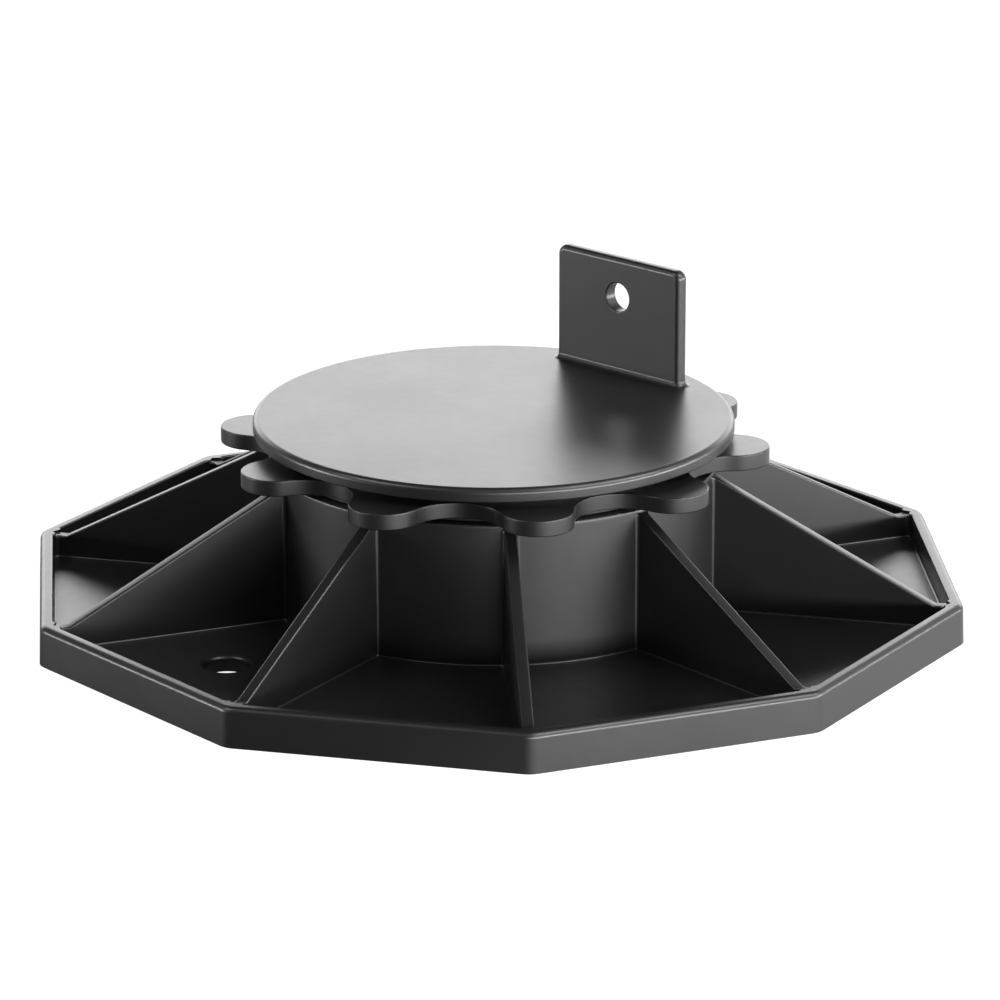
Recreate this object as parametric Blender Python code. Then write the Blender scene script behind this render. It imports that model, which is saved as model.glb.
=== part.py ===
"""Adjustable decking pedestal: a ribbed ten-sided base, a lobed adjusting ring and a threaded head.

The head's screw tab faces -Y. The axis of the pedestal is Z and its underside is at Z = 0.
"""
import math

import bmesh
import bpy
from mathutils import Matrix, Vector

MM = 0.001
TURN = 2 * math.pi
MERGE = 0.001 * MM
FIT_GAP = 0.3 * MM
SMOOTH_ANGLE = math.radians(35)
ROUND_ANGLE = math.radians(40)
HOLE_STEPS = 24

# Base: a ten-sided tray with a rib on every corner and an open hub in the middle.
SIDES = 10
BASE_RADIUS = 100.0 * MM
BASE_TURN = math.radians(-8)
RIM_HEIGHT = 8.4 * MM
RIM_LEAN = 0.25 * MM
RIM_ROUND = 1.25 * MM
RIM_WALL = 2.65 * MM
CORNER_ROUND = 5.0 * MM
FLOOR = 3.3 * MM
HUB_HEIGHT = 33.2 * MM
HUB_WALL = 3.7 * MM
RIB_THICKNESS = 2.5 * MM
RIB_STEP = 0.8 * MM
RIB_LAND = 3.4 * MM
DRAFT = math.tan(math.radians(0.5))
HUB_FILLET = 0.8 * MM
POCKET_FILLET = 1.2 * MM
FLOOR_FILLET = 0.45 * MM
MOULD_EDGE = 0.4 * MM
FLOOR_HOLE_DIAMETER = 9.2 * MM
FLOOR_HOLE_ROUND = 0.9 * MM
FLOOR_HOLE_SHIFT = 1.25 * MM
FLOOR_HOLE_POCKET = 8

# Thread between the ring and the stem: coarse, right-handed, one start.
THREAD_RADIUS = 40.0 * MM
THREAD_PITCH = 6.0 * MM
THREAD_DEPTH = 1.8 * MM
THREAD_CREST = 1.6 * MM
THREAD_FLANK = 1.2 * MM
THREAD_PLAY = 0.35 * MM
THREAD_STEPS = 48

# Adjusting ring: a flange with ten finger lobes on a collar that turns in the hub's bore.
LOBES = 10
RING_TURN = math.radians(-2)
LOBE_RADIUS = 7.4 * MM
LOBE_LENGTH = 12.2 * MM
LOBE_STEPS = 8
HOLLOW_STEPS = 6
FLANGE_THICKNESS = 3.35 * MM
FLANGE_EDGE = 0.25 * MM
FLANGE_LIFT = 0.55 * MM
COLLAR_WALL = 2.45 * MM
COLLAR_LENGTH = 6.5 * MM
LAND_WIDTH = 2.0 * MM
LAND_MARGIN = 0.6 * MM
BOSS_WALL = 2.5 * MM
BOSS_HEIGHT = 1.4 * MM

# Head: a round plate on a hollow threaded stem, with an upright screw tab.
PLATE_OVERHANG = 3.3 * MM
PLATE_THICKNESS = 2.9 * MM
PLATE_TOP_ROUND = 1.2 * MM
PLATE_LOW_ROUND = 0.25 * MM
PLATE_STEPS = 72
GROUND_GAP = 1.6 * MM
STEM_WALL = 2.6 * MM
STIFFENERS = 12
STIFFENER_DEPTH = 8.0 * MM
STIFFENER_THICKNESS = 2.0 * MM
STIFFENER_BOSS = 7.0 * MM
TAB_WIDTH = 34.0 * MM
TAB_HEIGHT = 25.2 * MM
TAB_THICKNESS = 3.0 * MM
TAB_INSET = 10.9 * MM
TAB_CORNER = 2.0 * MM
TAB_EDGE = 1.1 * MM
TAB_FILLET = 1.3 * MM
TAB_FILLET_SINK = 0.02 * MM
TAB_HOLE_DIAMETER = 6.2 * MM
TAB_HOLE_DROP = 8.6 * MM
ROOTED = 1.0 * MM

# Radii that follow from the sizes above, from the thread outwards.
STEM_BORE = THREAD_RADIUS - THREAD_DEPTH - STEM_WALL
COLLAR_RADIUS = THREAD_RADIUS + THREAD_PLAY + COLLAR_WALL
BOSS_RADIUS = THREAD_RADIUS + THREAD_PLAY + BOSS_WALL
BORE_RADIUS = COLLAR_RADIUS + FIT_GAP
HUB_RADIUS = BORE_RADIUS + HUB_WALL
LAND_RADIUS = COLLAR_RADIUS + LAND_WIDTH
VALLEY_RADIUS = LAND_RADIUS + LAND_MARGIN
LOBE_REACH = VALLEY_RADIUS + LOBE_LENGTH
PLATE_RADIUS = HUB_RADIUS + PLATE_OVERHANG
TAB_REACH = PLATE_RADIUS - TAB_INSET

# Levels that follow, from the hub's top upwards.
LAND_LEVEL = HUB_HEIGHT + FIT_GAP
FLANGE_LOW = LAND_LEVEL + FLANGE_LIFT
FLANGE_TOP = FLANGE_LOW + FLANGE_THICKNESS
BOSS_TOP = FLANGE_TOP + BOSS_HEIGHT
PLATE_LOW = BOSS_TOP + FIT_GAP
PLATE_TOP = PLATE_LOW + PLATE_THICKNESS
STEM_LOW = GROUND_GAP
TAB_HOLE_LEVEL = PLATE_TOP + TAB_HEIGHT - TAB_HOLE_DROP


def clear_scene():
    for item in list(bpy.data.objects):
        bpy.data.objects.remove(item, do_unlink=True)


def moulded_plastic(name, colour, roughness):
    material = bpy.data.materials.new(name)
    material.use_nodes = True
    shader = material.node_tree.nodes["Principled BSDF"]
    shader.inputs["Base Color"].default_value = (*colour, 1)
    shader.inputs["Roughness"].default_value = roughness
    shader.inputs["Metallic"].default_value = 0
    return material


def add_object(name, bm, material=None):
    """Turn a bmesh into an object, with round stretches shaded smooth."""
    mesh = bpy.data.meshes.new(name)
    bm.to_mesh(mesh)
    bm.free()
    mesh.shade_smooth()
    mesh.set_sharp_from_angle(angle=SMOOTH_ANGLE)
    made = bpy.data.objects.new(name, mesh)
    bpy.context.collection.objects.link(made)
    if material:
        mesh.materials.append(material)
    return made


def combine(target, tool, operation):
    """Join a tool shape to the target, or cut it away, with a Boolean modifier."""
    tool.hide_render = True
    tool.display_type = "WIRE"
    modifier = target.modifiers.new(tool.name, "BOOLEAN")
    modifier.operation = operation
    modifier.solver = "EXACT"
    modifier.object = tool


def polar(radius, angle):
    return Vector((radius * math.cos(angle), radius * math.sin(angle)))


def arc(centre, radius, start, end, steps):
    return [centre + polar(radius, start + (end - start) * i / steps) for i in range(steps + 1)]


def lift(points, z):
    return [Vector((p.x, p.y, z)) for p in points]


def add_face(bm, points):
    return bm.faces.new([bm.verts.new(p) for p in points])


def add_skin(bm, rows, closed=True):
    """Quads between neighbouring rows of points; a closed row joins its last point to its first."""
    made = [[bm.verts.new(p) for p in row] for row in rows]
    for low, high in zip(made, made[1:]):
        count = len(low) if closed else len(low) - 1
        for i in range(count):
            j = (i + 1) % len(low)
            bm.faces.new((low[i], low[j], high[j], high[i]))
    return made


def finish(bm):
    """Join neighbours' points and turn every face outwards."""
    bmesh.ops.remove_doubles(bm, verts=bm.verts, dist=MERGE)
    bmesh.ops.dissolve_degenerate(bm, dist=MERGE, edges=bm.edges)
    bmesh.ops.recalc_face_normals(bm, faces=bm.faces)
    return bm


def turned(profile, steps):
    """A closed solid turned about Z from a profile of (radius, height) that starts and ends on the axis."""
    bm = bmesh.new()
    rows = []
    for radius, z in profile[1:-1]:
        rows.append([Vector((*polar(radius, TURN * i / steps), z)) for i in range(steps)])
    made = add_skin(bm, rows)
    bm.faces.new(made[0])
    bm.faces.new(made[-1])
    return finish(bm)


def make_drill(radius, low, high):
    """A plain round rod along Z, used to cut a hole."""
    return turned([(0, low), (radius, low), (radius, high), (0, high)], HOLE_STEPS)


class Sector:
    """One half of a rib and of the pocket beside it, for a rib along +X; all plan points have y >= 0."""

    HUB_STEPS = 3
    FILLET_STEPS = 2
    RIM_STEPS = 3
    CORNER_STEPS = 3

    def __init__(self):
        self.half = RIB_THICKNESS / 2
        self.middle = math.pi / SIDES
        self.low_apothem = BASE_RADIUS * math.cos(self.middle)
        self.side_apothem = self.low_apothem - RIM_LEAN
        self.inner_apothem = self.side_apothem - RIM_WALL
        self.land_start = self.inner_apothem / math.cos(self.middle) - RIB_LAND
        self.rib_high = HUB_HEIGHT - RIB_STEP
        self.slope = (self.rib_high - RIM_HEIGHT) / (self.land_start - HUB_RADIUS)

    def rib_top(self, x):
        return max(RIM_HEIGHT, self.rib_high - self.slope * (x - HUB_RADIUS))

    def hub_fillet_centre(self):
        y = self.half + HUB_FILLET
        return Vector((math.sqrt((HUB_RADIUS + HUB_FILLET) ** 2 - y ** 2), y))

    def rim_fillet_centre(self):
        y = self.half + POCKET_FILLET
        reach = self.inner_apothem - POCKET_FILLET - y * math.sin(self.middle)
        return Vector((reach / math.cos(self.middle), y))

    def hub_arc(self):
        centre = self.hub_fillet_centre()
        end = math.atan2(centre.y, centre.x)
        return arc(Vector((0, 0)), HUB_RADIUS, self.middle, end, self.HUB_STEPS)

    def rib_side(self):
        """The edge from the hub, round its fillet and along the rib, to where the rib's top turns level."""
        hub = self.hub_fillet_centre()
        start = math.atan2(hub.y, hub.x) + math.pi
        points = arc(hub, HUB_FILLET, start, 1.5 * math.pi, self.FILLET_STEPS)
        return points + [Vector((self.land_start, self.half))]

    def rim_side(self):
        """The edge from where the rib's top is level, round the rim's fillet, to the middle of the side."""
        rim = self.rim_fillet_centre()
        points = arc(rim, POCKET_FILLET, -math.pi / 2, self.middle, self.CORNER_STEPS)
        return [Vector((self.land_start, self.half))] + points + [polar(self.inner_apothem, self.middle)]

    def outer_side(self, inset):
        """Half a side and half its rounded corner, from the middle of the side to the corner on +X."""
        centre = Vector(((self.low_apothem - CORNER_ROUND) / math.cos(self.middle), 0))
        corner = arc(centre, CORNER_ROUND - inset, self.middle, 0, self.CORNER_STEPS)
        return [polar(self.low_apothem - inset, self.middle)] + corner

    def outer_rows(self):
        """The rim's outer wall and the rounding over it, as rows of points from the ground to the top."""
        rows = [lift(self.outer_side(0), 0)]
        for i in range(self.RIM_STEPS + 1):
            turn = math.pi / 2 * i / self.RIM_STEPS
            inset = RIM_LEAN + RIM_ROUND * (1 - math.cos(turn))
            rows.append(lift(self.outer_side(inset), RIM_HEIGHT - RIM_ROUND * (1 - math.sin(turn))))
        return rows

    def inward(self, edge):
        """Directions from the pocket's edge into the pocket, one for each point of the edge."""
        count = len(edge)
        out = []
        for i in range(count):
            along = edge[min(i + 1, count - 1)] - edge[max(i - 1, 0)]
            out.append(Vector((-along.y, along.x)).normalized())
        out[0] = polar(1, self.middle)
        out[-1] = -polar(1, self.middle)
        return out


def pocket_rows(sector, edge, heights):
    """The pocket's wall, drafted from its top edge, and the fillet at its foot, as rows of points."""
    steps = 2
    rows = [[Vector((p.x, p.y, z)) for p, z in zip(edge, heights)]]
    inward = sector.inward(edge)
    for i in range(steps + 1):
        turn = math.pi / 2 * i / steps
        z = FLOOR + FLOOR_FILLET * (1 - math.sin(turn))
        row = []
        for p, n, top in zip(edge, inward, heights):
            q = p + n * ((top - FLOOR) * DRAFT + FLOOR_FILLET * (1 - math.cos(turn)))
            row.append(Vector((q.x, q.y, z)))
        rows.append(row)
    return rows


def add_half_sector(bm, sector):
    hub = sector.hub_arc()
    rib = sector.rib_side()
    rim = sector.rim_side()
    edge = hub + rib[1:] + rim[1:]
    rib_heights = [sector.rib_top(p.x) for p in rib]
    hub_height = sector.rib_top(hub[-1].x)
    heights = [hub_height] * len(hub) + rib_heights[1:] + [RIM_HEIGHT] * (len(rim) - 1)

    rows = pocket_rows(sector, edge, heights)
    add_skin(bm, rows, closed=False)
    add_face(bm, rows[-1])

    over_rib = hub + [Vector((HUB_RADIUS, 0))]
    bore = [p * (BORE_RADIUS / HUB_RADIUS) for p in over_rib]
    wall_foot = lift(over_rib[:-1], hub_height) + [Vector((HUB_RADIUS, 0, sector.rib_top(HUB_RADIUS)))]
    add_skin(bm, [wall_foot, lift(over_rib, HUB_HEIGHT), lift(bore, HUB_HEIGHT), lift(bore, 0)], closed=False)

    rib_edge = [Vector((p.x, p.y, z)) for p, z in zip(rib, rib_heights)]
    land = Vector((sector.land_start, 0, RIM_HEIGHT))
    add_face(bm, rib_edge + [land, wall_foot[-1]])

    outer = sector.outer_rows()
    add_face(bm, lift(rim, RIM_HEIGHT) + outer[-1] + [land])
    add_skin(bm, outer, closed=False)
    add_face(bm, outer[0] + lift(reversed(bore), 0))


def round_moulded_edges(bm, lowest):
    """Round the outward edges above a level, where the mould closes."""
    bm.normal_update()
    edges = []
    for edge in bm.edges:
        high = all(v.co.z > lowest for v in edge.verts)
        if high and edge.is_convex and edge.calc_face_angle(0) > ROUND_ANGLE:
            edges.append(edge)
    bmesh.ops.bevel(bm, geom=edges, offset=MOULD_EDGE, offset_type="OFFSET", segments=2, profile=0.5,
                    affect="EDGES", clamp_overlap=True)


def make_floor_drill():
    """A drill with a rounded shoulder, so that the hole's upper edge comes out rounded."""
    radius = FLOOR_HOLE_DIAMETER / 2
    centre = Vector((radius + FLOOR_HOLE_ROUND, FLOOR - FLOOR_HOLE_ROUND))
    shoulder = arc(centre, FLOOR_HOLE_ROUND, math.pi, math.pi / 2, 3)
    above = shoulder[-1] + (shoulder[-1] - shoulder[-2]) * 0.1
    profile = [(0, -FLOOR), (radius, -FLOOR)] + [tuple(p) for p in shoulder[:-1] + [above]]
    return turned(profile + [(above.x, 2 * FLOOR), (0, 2 * FLOOR)], HOLE_STEPS)


def make_base(material):
    bm = bmesh.new()
    sector = Sector()
    add_half_sector(bm, sector)
    half = list(bm.verts) + list(bm.edges) + list(bm.faces)
    bmesh.ops.mirror(bm, geom=half, axis="Y", merge_dist=0)
    one = list(bm.verts) + list(bm.edges) + list(bm.faces)
    for k in range(1, SIDES):
        copy = bmesh.ops.duplicate(bm, geom=one)["geom"]
        verts = [item for item in copy if isinstance(item, bmesh.types.BMVert)]
        bmesh.ops.rotate(bm, verts=verts, cent=(0, 0, 0), matrix=Matrix.Rotation(TURN * k / SIDES, 3, "Z"))
    finish(bm)
    round_moulded_edges(bm, RIM_HEIGHT - MOULD_EDGE)
    bmesh.ops.rotate(bm, verts=bm.verts, cent=(0, 0, 0), matrix=Matrix.Rotation(BASE_TURN, 3, "Z"))
    base = add_object("pedestal_base", finish(bm), material)

    drill = make_floor_drill()
    reach = (HUB_RADIUS + sector.inner_apothem) / 2 + FLOOR_HOLE_SHIFT
    place = polar(reach, BASE_TURN + TURN * (FLOOR_HOLE_POCKET - 0.5) / SIDES)
    bmesh.ops.translate(drill, verts=drill.verts, vec=(place.x, place.y, 0))
    combine(base, add_object("floor_drill", drill), "DIFFERENCE")
    return base


def thread_shape(play):
    """The profile of one turn: (height from the crest's middle, radius), grown all round by a play."""
    root = THREAD_RADIUS - THREAD_DEPTH + play
    crest = THREAD_RADIUS + play
    half = (THREAD_CREST + play) / 2
    return [(-half - THREAD_FLANK, root), (-half, crest), (half, crest), (half + THREAD_FLANK, root)]


def add_thread(bm, low, high, play):
    """The wound outside of a thread from one level to another, and the loops of points at its two ends.

    Each column of points climbs through every turn. Points past an end close up on the root there, which
    runs the thread out, and the last column meets the first one turn higher.
    """
    shape = thread_shape(play)
    root = shape[0][1]
    turns = math.ceil((high - STEM_LOW) / THREAD_PITCH) + 2
    made = []
    for i in range(THREAD_STEPS):
        column = []
        for turn in range(-1, turns):
            for offset, radius in shape:
                z = STEM_LOW + THREAD_PITCH * (turn + i / THREAD_STEPS) + offset
                reach = radius if low < z < high else root
                point = polar(reach, TURN * i / THREAD_STEPS)
                column.append(bm.verts.new((point.x, point.y, min(max(z, low), high))))
        made.append(column)
    for here, there in zip(made, made[1:] + [made[0][len(shape):]]):
        for corners in zip(here, there, there[1:], here[1:]):
            bm.faces.new(corners)
    return [column[0] for column in made], [column[-1] for column in made]


def make_tap():
    """The threaded rod whose shape the ring's bore has, a little larger than the stem all round."""
    bm = bmesh.new()
    bottom, top = add_thread(bm, STEM_LOW, PLATE_LOW + 2 * THREAD_PITCH, THREAD_PLAY)
    bm.faces.new(bottom)
    bm.faces.new(top)
    return add_object("ring_tap", finish(bm))


def lobed_outline(inset):
    """The flange's outline: round finger lobes joined by round hollows."""
    tip = LOBE_REACH - LOBE_RADIUS
    step = math.pi / LOBES
    # The hollow's arc touches both lobes and comes in to the valley radius.
    top = tip ** 2 - LOBE_RADIUS ** 2 + VALLEY_RADIUS ** 2 - 2 * tip * VALLEY_RADIUS * math.cos(step)
    hollow = top / (2 * (LOBE_RADIUS + tip * math.cos(step) - VALLEY_RADIUS))
    lobe = Vector((tip, 0))
    valley = polar(VALLEY_RADIUS + hollow, step)
    across = valley - lobe
    lean = math.atan2(across.y, across.x)
    lobe_arc = arc(lobe, LOBE_RADIUS - inset, -lean, lean, LOBE_STEPS)
    hollow_arc = arc(valley, hollow + inset, lean + math.pi, 2 * step - lean + math.pi, HOLLOW_STEPS)
    points = []
    for k in range(LOBES):
        spin = Matrix.Rotation(RING_TURN + TURN * k / LOBES, 2)
        points += [spin @ p for p in lobe_arc[:-1] + hollow_arc[:-1]]
    return points


def circle(radius, steps):
    return [polar(radius, TURN * i / steps) for i in range(steps)]


def fill_between(bm, loops):
    """Fill the flat ring between two loops of vertices."""
    edges = []
    for loop in loops:
        for a, b in zip(loop, loop[1:] + loop[:1]):
            edges.append(bm.edges.get((a, b)) or bm.edges.new((a, b)))
    bmesh.ops.triangle_fill(bm, edges=edges, use_beauty=True)


def make_ring(material, tap):
    steps = THREAD_STEPS
    bm = bmesh.new()
    full = lobed_outline(0)
    eased = lobed_outline(FLANGE_EDGE)
    flange = add_skin(bm, [
        lift(eased, FLANGE_LOW),
        lift(full, FLANGE_LOW + FLANGE_EDGE),
        lift(full, FLANGE_TOP - FLANGE_EDGE),
        lift(eased, FLANGE_TOP),
    ])
    upper = add_skin(bm, [
        lift(circle(BOSS_RADIUS, steps), FLANGE_TOP),
        lift(circle(BOSS_RADIUS, steps), BOSS_TOP - FLANGE_EDGE),
        lift(circle(BOSS_RADIUS - FLANGE_EDGE, steps), BOSS_TOP),
    ])
    collar_low = LAND_LEVEL - COLLAR_LENGTH
    lower = add_skin(bm, [
        lift(circle(LAND_RADIUS, steps), FLANGE_LOW),
        lift(circle(LAND_RADIUS, steps), LAND_LEVEL),
        lift(circle(COLLAR_RADIUS, steps), LAND_LEVEL),
        lift(circle(COLLAR_RADIUS, steps), collar_low + FLANGE_EDGE),
        lift(circle(COLLAR_RADIUS - FLANGE_EDGE, steps), collar_low),
    ])
    fill_between(bm, [flange[-1], upper[0]])
    fill_between(bm, [flange[0], lower[0]])
    bm.faces.new(upper[-1])
    bm.faces.new(lower[-1])
    ring = add_object("adjusting_ring", finish(bm), material)
    combine(ring, tap, "DIFFERENCE")
    return ring


def make_stem():
    """The hollow threaded stem, rooted a little way into the plate."""
    bm = bmesh.new()
    root = THREAD_RADIUS - THREAD_DEPTH
    add_thread(bm, STEM_LOW, PLATE_LOW, 0)
    rooted = PLATE_LOW + ROOTED
    add_skin(bm, [
        lift(circle(root, THREAD_STEPS), STEM_LOW),
        lift(circle(STEM_BORE, THREAD_STEPS), STEM_LOW),
        lift(circle(STEM_BORE, THREAD_STEPS), rooted),
        lift(circle(root, THREAD_STEPS), rooted),
        lift(circle(root, THREAD_STEPS), PLATE_LOW),
    ])
    return add_object("stem", finish(bm))


def make_plate():
    profile = [(0, PLATE_LOW)]
    low = Vector((PLATE_RADIUS - PLATE_LOW_ROUND, PLATE_LOW + PLATE_LOW_ROUND))
    high = Vector((PLATE_RADIUS - PLATE_TOP_ROUND, PLATE_TOP - PLATE_TOP_ROUND))
    profile += [tuple(p) for p in arc(low, PLATE_LOW_ROUND, -math.pi / 2, 0, 2)]
    profile += [tuple(p) for p in arc(high, PLATE_TOP_ROUND, 0, math.pi / 2, 4)]
    profile.append((0, PLATE_TOP))
    return turned(profile, PLATE_STEPS)


def make_stiffeners():
    """The ribs under the plate: one star whose arms run from a boss in the middle into the stem's wall."""
    half = STIFFENER_THICKNESS / 2
    foot = math.sqrt(STIFFENER_BOSS ** 2 - half ** 2)
    reach = STEM_BORE + STEM_WALL / 2
    lean = math.asin(half / STIFFENER_BOSS)
    arm = [Vector((foot, -half)), Vector((reach, -half)), Vector((reach, half)), Vector((foot, half))]
    arm += arc(Vector((0, 0)), STIFFENER_BOSS, lean, TURN / STIFFENERS - lean, 2)[1:-1]
    outline = []
    for k in range(STIFFENERS):
        spin = Matrix.Rotation(TURN * k / STIFFENERS, 2)
        outline += [spin @ p for p in arm]
    bm = bmesh.new()
    made = add_skin(bm, [lift(outline, PLATE_LOW - STIFFENER_DEPTH), lift(outline, PLATE_LOW + ROOTED / 2)])
    bm.faces.new(made[0])
    bm.faces.new(made[-1])
    return add_object("stiffeners", finish(bm))


def make_tab():
    """The upright tab: its two top corners rounded, then its edges, standing in the plate."""
    bm = bmesh.new()
    bmesh.ops.create_cube(bm, size=1)
    height = TAB_HEIGHT + ROOTED
    bmesh.ops.scale(bm, verts=bm.verts, vec=(TAB_WIDTH, TAB_THICKNESS, height))
    middle = Vector((0, TAB_REACH + TAB_THICKNESS / 2, PLATE_TOP - ROOTED + height / 2))
    bmesh.ops.translate(bm, verts=bm.verts, vec=middle)
    top = PLATE_TOP + TAB_HEIGHT
    corners = []
    for edge in bm.edges:
        along = edge.verts[1].co - edge.verts[0].co
        at_top = all(abs(v.co.z - top) < MERGE for v in edge.verts)
        if at_top and abs(along.x) < MERGE:
            corners.append(edge)
    bmesh.ops.bevel(bm, geom=corners, offset=TAB_CORNER, offset_type="OFFSET", segments=4, profile=0.5,
                    affect="EDGES")
    bm.normal_update()
    rims = []
    for face in bm.faces:
        if abs(face.normal.y) > math.cos(ROUND_ANGLE):
            rims += [e for e in face.edges if max(v.co.z for v in e.verts) > PLATE_TOP]
    bmesh.ops.bevel(bm, geom=list(set(rims)), offset=TAB_EDGE, offset_type="OFFSET", segments=3, profile=0.5,
                    affect="EDGES")
    return add_object("tab", finish(bm))


def rounded_rectangle(width, depth, corner, steps=3):
    points = []
    for k, (sx, sy) in enumerate(((1, 1), (-1, 1), (-1, -1), (1, -1))):
        centre = Vector((sx * (width / 2 - corner), sy * (depth / 2 - corner)))
        points += arc(centre, corner, math.pi / 2 * k, math.pi / 2 * (k + 1), steps)
    return points


def make_tab_foot():
    """The fillet round the tab's foot."""
    bm = bmesh.new()
    steps = 4
    rows = []
    for i in range(steps + 1):
        turn = math.pi / 2 * i / steps
        spread = TAB_FILLET * (1 - math.sin(turn)) - TAB_FILLET_SINK
        z = PLATE_TOP + TAB_FILLET * (1 - math.cos(turn))
        outline = rounded_rectangle(TAB_WIDTH + 2 * spread, TAB_THICKNESS + 2 * spread, TAB_EDGE + spread)
        rows.append([Vector((p.x, p.y + TAB_REACH + TAB_THICKNESS / 2, z)) for p in outline])
    rows.insert(0, [p - Vector((0, 0, ROOTED)) for p in rows[0]])
    made = add_skin(bm, rows)
    bm.faces.new(made[0])
    bm.faces.new(made[-1])
    return add_object("tab_foot", finish(bm))


def make_head(material):
    head = add_object("head_plate", make_plate(), material)
    for piece in (make_stem(), make_stiffeners(), make_tab(), make_tab_foot()):
        combine(head, piece, "UNION")
    drill = make_drill(TAB_HOLE_DIAMETER / 2, -TAB_THICKNESS, 2 * TAB_THICKNESS)
    upright = Matrix.Rotation(-math.pi / 2, 3, "X")
    bmesh.ops.rotate(drill, verts=drill.verts, cent=(0, 0, 0), matrix=upright)
    bmesh.ops.translate(drill, verts=drill.verts, vec=(0, TAB_REACH, TAB_HOLE_LEVEL))
    combine(head, add_object("tab_drill", drill), "DIFFERENCE")
    return head


def main():
    clear_scene()
    black = moulded_plastic("black_polypropylene", (0.022, 0.022, 0.023), 0.38)
    make_base(black)
    make_ring(black, make_tap())
    make_head(black)


main()
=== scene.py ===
# %% [markdown]
# # A decking pedestal
#
# A decking pedestal stands on a roof or slab and carries a deck's joists at the right height. It is three
# mouldings in black polypropylene: a ribbed tray with a hub in its middle, a ring with finger lobes that turns
# on the hub, and a round head whose threaded stem goes down through the ring. The engineering model of all
# three is loaded first. It stays as it is, and every piece made here is a finer skin over one of its parts.

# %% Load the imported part
import math

import bmesh
import bpy
from mathutils import Matrix, Vector


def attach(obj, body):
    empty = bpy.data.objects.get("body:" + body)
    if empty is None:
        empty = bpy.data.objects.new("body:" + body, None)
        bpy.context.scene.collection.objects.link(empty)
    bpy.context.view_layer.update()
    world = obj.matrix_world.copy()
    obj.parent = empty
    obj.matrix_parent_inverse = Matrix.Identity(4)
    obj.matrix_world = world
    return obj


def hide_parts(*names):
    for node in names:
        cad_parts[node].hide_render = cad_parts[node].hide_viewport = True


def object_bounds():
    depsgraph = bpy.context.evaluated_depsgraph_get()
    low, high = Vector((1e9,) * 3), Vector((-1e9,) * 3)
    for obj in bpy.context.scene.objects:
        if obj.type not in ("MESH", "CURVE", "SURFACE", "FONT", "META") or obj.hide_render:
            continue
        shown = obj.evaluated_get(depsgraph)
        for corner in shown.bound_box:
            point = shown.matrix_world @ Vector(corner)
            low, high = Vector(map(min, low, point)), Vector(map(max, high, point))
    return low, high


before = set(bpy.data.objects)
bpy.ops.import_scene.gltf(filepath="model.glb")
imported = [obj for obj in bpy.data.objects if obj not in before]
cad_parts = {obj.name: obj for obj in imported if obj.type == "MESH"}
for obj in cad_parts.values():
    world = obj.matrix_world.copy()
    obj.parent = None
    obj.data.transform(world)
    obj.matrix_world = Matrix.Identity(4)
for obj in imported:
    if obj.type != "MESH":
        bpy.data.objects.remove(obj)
cad_box = [list(corner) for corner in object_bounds()]

# %% [markdown]
# ## Sizes
#
# The skins have to lie on the engineering model, so they are made from the same sizes, in metres. Only the
# values that a mould maker would choose are written down. Radii are worked out from the thread outwards, and
# levels from the hub's top upwards, so that the pieces keep their clearances if a size changes.

# %% Sizes of the three mouldings
MM = 0.001
TURN = 2 * math.pi
MERGE = 0.001 * MM
FIT_GAP = 0.3 * MM

SIDES = 10
BASE_RADIUS = 100.0 * MM
BASE_TURN = math.radians(-8)
RIM_HEIGHT = 8.4 * MM
RIM_LEAN = 0.25 * MM
RIM_ROUND = 1.25 * MM
RIM_WALL = 2.65 * MM
CORNER_ROUND = 5.0 * MM
FLOOR = 3.3 * MM
HUB_HEIGHT = 33.2 * MM
HUB_WALL = 3.7 * MM
RIB_THICKNESS = 2.5 * MM
RIB_STEP = 0.8 * MM
RIB_LAND = 3.4 * MM
RIB_DROP = 0.45 * MM
DRAFT = math.tan(math.radians(0.5))
HUB_FILLET = 0.8 * MM
POCKET_FILLET = 1.2 * MM
FLOOR_FILLET = 0.45 * MM
MOULD_EDGE = 0.4 * MM
FLOOR_HOLE_RADIUS = 4.6 * MM
FLOOR_HOLE_ROUND = 0.9 * MM
FLOOR_HOLE_SHIFT = 1.25 * MM
FLOOR_HOLE_POCKET = 8

THREAD_RADIUS = 40.0 * MM
THREAD_PITCH = 6.0 * MM
THREAD_DEPTH = 1.8 * MM
THREAD_CREST = 1.6 * MM
THREAD_FLANK = 1.2 * MM
THREAD_PLAY = 0.35 * MM

LOBES = 10
RING_TURN = math.radians(-2)
LOBE_RADIUS = 7.4 * MM
LOBE_LENGTH = 12.2 * MM
FLANGE_THICKNESS = 3.35 * MM
FLANGE_EDGE = 0.25 * MM
FLANGE_LIFT = 0.55 * MM
COLLAR_WALL = 2.45 * MM
COLLAR_LENGTH = 6.5 * MM
LAND_WIDTH = 2.0 * MM
LAND_MARGIN = 0.6 * MM
BOSS_WALL = 2.5 * MM
BOSS_HEIGHT = 1.4 * MM

PLATE_OVERHANG = 3.3 * MM
PLATE_THICKNESS = 2.9 * MM
PLATE_TOP_ROUND = 1.2 * MM
PLATE_LOW_ROUND = 0.25 * MM
STEM_LOW = 1.6 * MM
STEM_WALL = 2.6 * MM
STIFFENERS = 12
STIFFENER_DEPTH = 8.0 * MM
STIFFENER_THICKNESS = 2.0 * MM
STIFFENER_BOSS = 7.0 * MM
TAB_WIDTH = 34.0 * MM
TAB_HEIGHT = 25.2 * MM
TAB_THICKNESS = 3.0 * MM
TAB_INSET = 10.9 * MM
TAB_CORNER = 2.0 * MM
TAB_EDGE = 1.1 * MM
TAB_FILLET = 1.3 * MM
TAB_HOLE_RADIUS = 3.1 * MM
TAB_HOLE_DROP = 8.6 * MM
ROOTED = 1.0 * MM

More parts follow.
